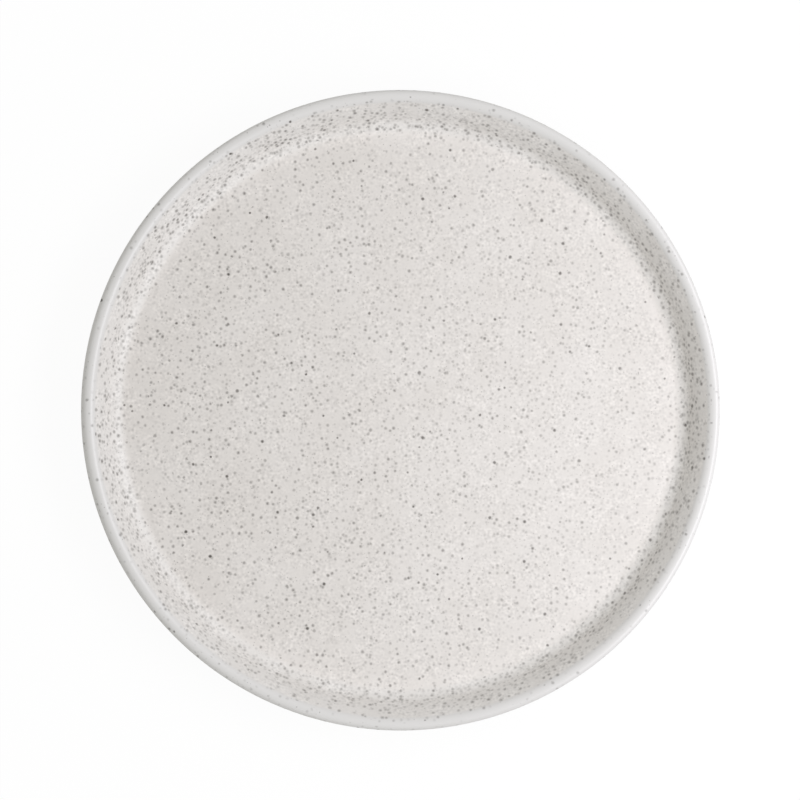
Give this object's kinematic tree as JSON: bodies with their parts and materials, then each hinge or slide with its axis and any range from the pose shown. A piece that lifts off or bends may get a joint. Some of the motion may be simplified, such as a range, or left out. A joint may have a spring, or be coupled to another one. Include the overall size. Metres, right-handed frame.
{
  "type": "dinner plate",
  "caption": "Round stoneware dinner plate with a flat well, a flared wall, a rounded lip and a bare foot ring, under a speckled off-white glaze.",
  "frame": {"origin": "centre of the foot ring, on the plane that the plate stands on", "axes": "+Z is the plate's axis and points up out of the well; X and Y lie in the plane that it stands on, and any two will do, because the plate is round"},
  "size_m": [0.27, 0.27, 0.024],
  "materials": {
    "stoneware": "matte",
    "speckled_glaze": "satin"
  },
  "bodies": {
    "root": {"stoneware_body": "stoneware", "face_glaze": "speckled_glaze", "foot_recess_glaze": "speckled_glaze"}
  },
  "joints": []
}
